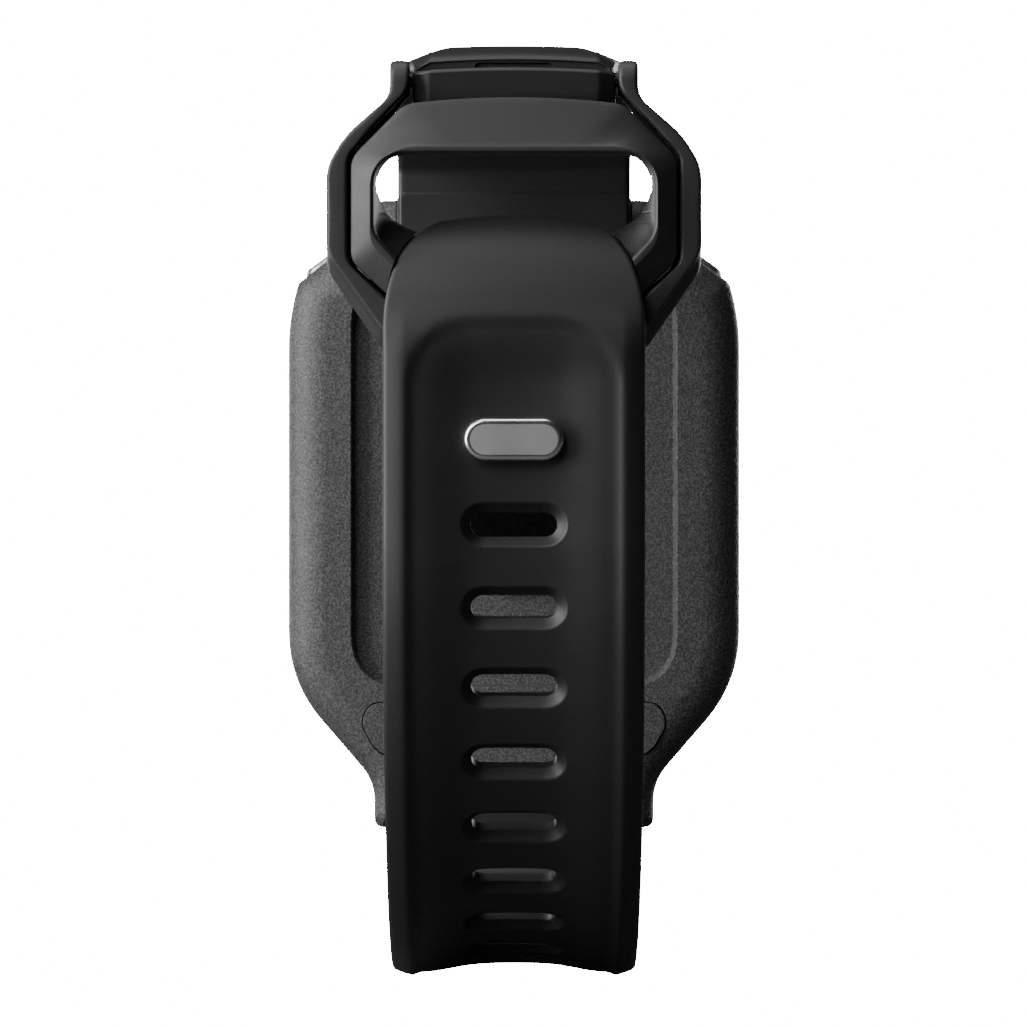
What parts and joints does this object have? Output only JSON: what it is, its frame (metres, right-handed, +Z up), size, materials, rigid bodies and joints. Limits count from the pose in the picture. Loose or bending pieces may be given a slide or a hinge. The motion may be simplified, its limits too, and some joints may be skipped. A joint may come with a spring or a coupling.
{
  "type": "fitness tracker band",
  "caption": "Wrist tracker with a grained case, a pin-and-tuck strap closed into a loop, a swinging clasp frame and press buttons on its shoulders.",
  "frame": {"origin": "middle of the wrist opening, half way along the case's length", "axes": "+X along the wrist, to the right when the clasp is seen; +Y from the clasp to the display; +Z up, along the case's length"},
  "size_m": [0.041, 0.0629, 0.0791],
  "materials": {
    "case_shell": "fine spark-eroded grain, charcoal",
    "bezel": "satin black",
    "display_glass": "polished black-backed glass",
    "display_panel": "dark display module",
    "seal_rubber": "soft black rubber",
    "chassis": "glass-filled plastic",
    "steel": "plain steel",
    "circuit_board": "green solder mask",
    "battery": "laminated pouch foil",
    "contact_metal": "gold plated",
    "sensor_glass": "black gloss window",
    "button_metal": "fine blasted silver",
    "switch_plastic": "moulded switch body",
    "strap_rubber": "soft matte black elastomer",
    "clasp_plastic": "satin black moulding",
    "stud_metal": "satin silver face with a polished rim"
  },
  "bodies": {
    "watch": {"case_back": "case_shell", "front_bezel": "bezel", "display_glass": "display_glass", "display_gasket": "seal_rubber", "display_panel": "display_panel", "inner_chassis": "chassis", "chassis_screws": "steel", "main_board": "circuit_board", "processor_shield": "steel", "battery_cell": "battery", "vibration_motor": "steel", "speaker_unit": "chassis", "antenna_strip": "contact_metal", "sensor_window": "sensor_glass", "sensor_board": "circuit_board", "charging_contacts": "contact_metal", "left_button_seal": "seal_rubber", "right_button_seal": "seal_rubber", "left_button_switch": "switch_plastic", "right_button_switch": "switch_plastic", "upper_adapter": "case_shell", "lower_adapter": "case_shell", "upper_strap": "strap_rubber", "lower_strap": "strap_rubber", "keeper_frame": "clasp_plastic", "clasp_pin": "steel"},
    "left_button": {"left_button": "button_metal"},
    "right_button": {"right_button": "button_metal"},
    "upper_latch": {"upper_latch": "case_shell"},
    "lower_latch": {"lower_latch": "case_shell"},
    "clasp": {"clasp_frame": "clasp_plastic", "locking_stud": "stud_metal", "stud_plate": "steel"}
  },
  "joints": [
    {"name": "clasp_swing", "type": "hinge", "parent": "watch", "child": "clasp", "pos_m": [0, -0.0218, 0.035], "axis": [1, 0, 0], "range_deg": [0, 60]},
    {"name": "left_button_press", "type": "slide", "parent": "watch", "child": "left_button", "axis": [0.5835, 0, -0.8121], "range_m": [0, 0.0005], "stiffness_N_per_m": 1200},
    {"name": "right_button_press", "type": "slide", "parent": "watch", "child": "right_button", "axis": [-0.5835, 0, -0.8121], "range_m": [0, 0.0005], "stiffness_N_per_m": 1200},
    {"name": "upper_latch_press", "type": "slide", "parent": "watch", "child": "upper_latch", "axis": [0, 1, 0], "range_m": [0, 0.0006], "stiffness_N_per_m": 1200},
    {"name": "lower_latch_press", "type": "slide", "parent": "watch", "child": "lower_latch", "axis": [0, 1, 0], "range_m": [0, 0.0006], "stiffness_N_per_m": 1200}
  ]
}
